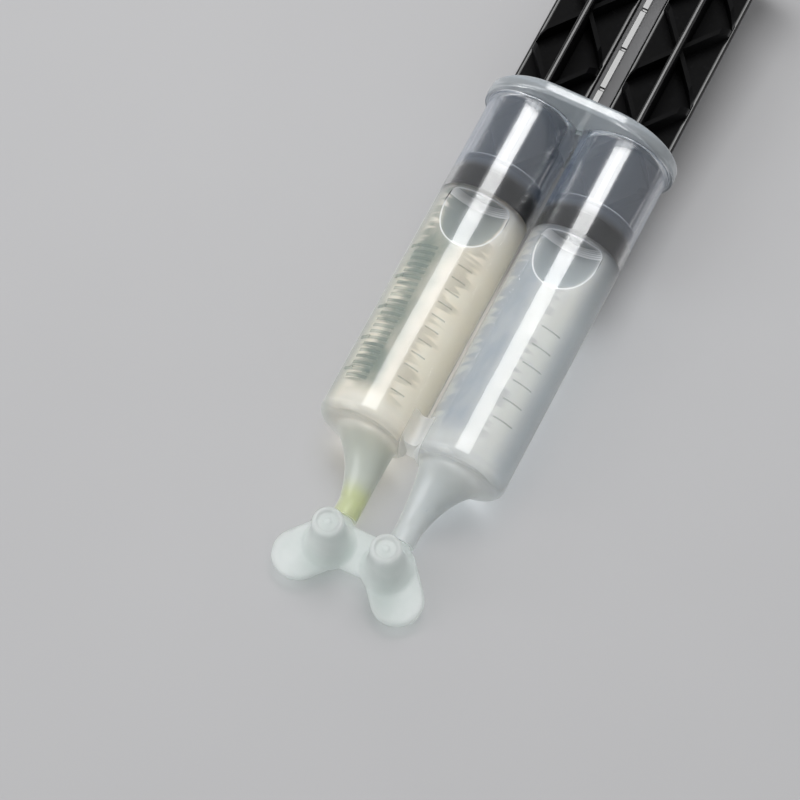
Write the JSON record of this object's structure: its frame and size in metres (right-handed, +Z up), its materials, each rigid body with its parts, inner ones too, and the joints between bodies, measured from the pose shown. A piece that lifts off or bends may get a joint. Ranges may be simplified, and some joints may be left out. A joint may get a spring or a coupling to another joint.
{
  "type": "twin-barrel epoxy syringe",
  "caption": "Twin-barrel adhesive syringe with a finger flange, a double plunger that drives a piston in each barrel, and a snap-off winged closure on the nozzles.",
  "frame": {"origin": "middle of the flat foot under the finger flange, halfway through the flange's thickness", "axes": "+Y along the barrels from the nozzles to the thumb plate, +X from the resin side to the hardener side, +Z up from the foot"},
  "size_m": [0.0414, 0.1672, 0.029],
  "materials": {
    "clear_plastic": "glossy translucent moulded plastic",
    "resin": "cloudy cream liquid",
    "hardener": "clear pale liquid",
    "black_plastic": "glossy black moulded plastic",
    "piston_plastic": "soft black moulded plastic",
    "frosted_plastic": "frosted moulded plastic"
  },
  "bodies": {
    "barrel_pack": {"resin_barrel": "clear_plastic", "hardener_barrel": "clear_plastic", "finger_flange": "clear_plastic", "shoulder_bridge": "clear_plastic", "resin_neck": "clear_plastic", "hardener_neck": "clear_plastic", "resin_charge": "resin", "resin_neck_charge": "resin", "hardener_charge": "hardener", "hardener_neck_charge": "hardener"},
    "plunger": {"resin_rod": "black_plastic", "hardener_rod": "black_plastic", "guide_rail": "black_plastic", "thumb_plate": "black_plastic", "resin_piston": "piston_plastic", "hardener_piston": "piston_plastic"},
    "closure": {"snap_off_closure": "frosted_plastic"}
  },
  "joints": [
    {"name": "plunger_slide", "type": "slide", "parent": "barrel_pack", "child": "plunger", "axis": [0, -1, 0], "range_m": [0, 0.0509], "deforming": ["resin_charge", "hardener_charge"]},
    {"name": "closure_pull", "type": "slide", "parent": "barrel_pack", "child": "closure", "axis": [0, -1, 0], "range_m": [0, 0.03]}
  ]
}
